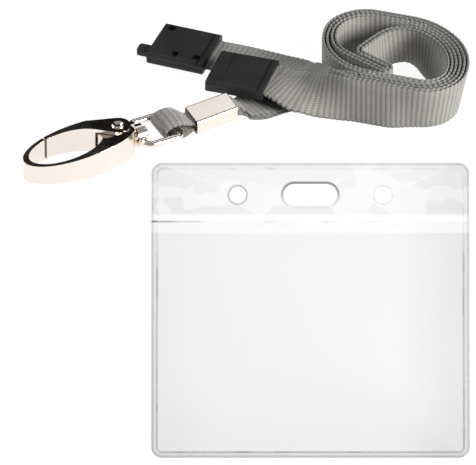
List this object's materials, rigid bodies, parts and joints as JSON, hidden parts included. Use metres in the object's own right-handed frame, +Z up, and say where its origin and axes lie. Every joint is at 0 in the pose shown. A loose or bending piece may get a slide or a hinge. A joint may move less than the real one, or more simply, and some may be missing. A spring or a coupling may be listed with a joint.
{
  "type": "id badge wallet with lanyard",
  "caption": "Clear vinyl badge wallet with a hang slot, and a coiled flat webbing lanyard with a breakaway buckle, a crimp and a swivel hook.",
  "frame": {"origin": "middle of the footprint of the whole set, on the floor plane", "axes": "+Z up, +Y from the wallet's bottom edge towards the coil, +X to the viewer's right"},
  "size_m": [0.1375, 0.2204, 0.066],
  "materials": {
    "clear_vinyl": "clear soft vinyl, faintly cloudy",
    "grey_webbing": "ribbed woven polyester, matt",
    "black_plastic": "moulded, satin",
    "bright_nickel": "polished nickel plate",
    "spring_steel": "plain"
  },
  "bodies": {
    "lanyard": {"coil_strand_outer": "grey_webbing", "coil_strand_inner": "grey_webbing", "socket_tail": "grey_webbing", "plug_tail": "grey_webbing", "hook_leg_upper": "grey_webbing", "hook_leg_lower": "grey_webbing", "strap_loop": "grey_webbing", "crimp_ferrule": "bright_nickel"},
    "socket": {"socket_base": "black_plastic", "socket_lid": "black_plastic", "socket_strap_end": "grey_webbing"},
    "plug": {"plug_base": "black_plastic", "plug_lid": "black_plastic", "plug_strap_end": "grey_webbing"},
    "eye": {"swivel_eye": "bright_nickel"},
    "hook": {"hook_body": "bright_nickel", "swivel_post": "bright_nickel", "gate_rivet": "bright_nickel", "gate_spring": "spring_steel"},
    "gate": {"gate": "bright_nickel"},
    "wallet": {"back_sheet": "clear_vinyl", "edge_weld": "clear_vinyl", "front_window": "clear_vinyl", "header_strip": "clear_vinyl", "throat_lip": "clear_vinyl", "rim_bead": "clear_vinyl"}
  },
  "joints": [
    {"name": "socket_lift", "type": "hinge", "parent": "lanyard", "child": "socket", "pos_m": [0.00726, 0.07487, 0.0066], "axis": [0.2924, 0.9563, 0], "range_deg": [0, 45]},
    {"name": "plug_lift", "type": "hinge", "parent": "lanyard", "child": "plug", "pos_m": [-0.01087, 0.09527, 0.002], "axis": [0.3502, 0.9367, 0], "range_deg": [0, 45]},
    {"name": "eye_swing", "type": "hinge", "parent": "lanyard", "child": "eye", "pos_m": [-0.02295, 0.05518, 0.0038], "axis": [-0.454, 0.891, 0], "range_deg": [0, 70]},
    {"name": "hook_swivel", "type": "hinge", "parent": "eye", "child": "hook", "pos_m": [-0.03364, 0.04973, 0.0038], "axis": [-0.891, -0.454, 0], "continuous": true},
    {"name": "gate_hinge", "type": "hinge", "parent": "hook", "child": "gate", "pos_m": [-0.03967, 0.04835, 0.0038], "axis": [0, 0, 1], "range_deg": [0, 25], "stiffness_Nm_per_rad": 0.01, "springref_deg": -11.46},
    {"name": "wallet_lay", "type": "hinge", "parent": "lanyard", "child": "wallet", "pos_m": [0.0185, -0.10915, 0], "axis": [-1, 0, 0], "range_deg": [0, 48]}
  ]
}
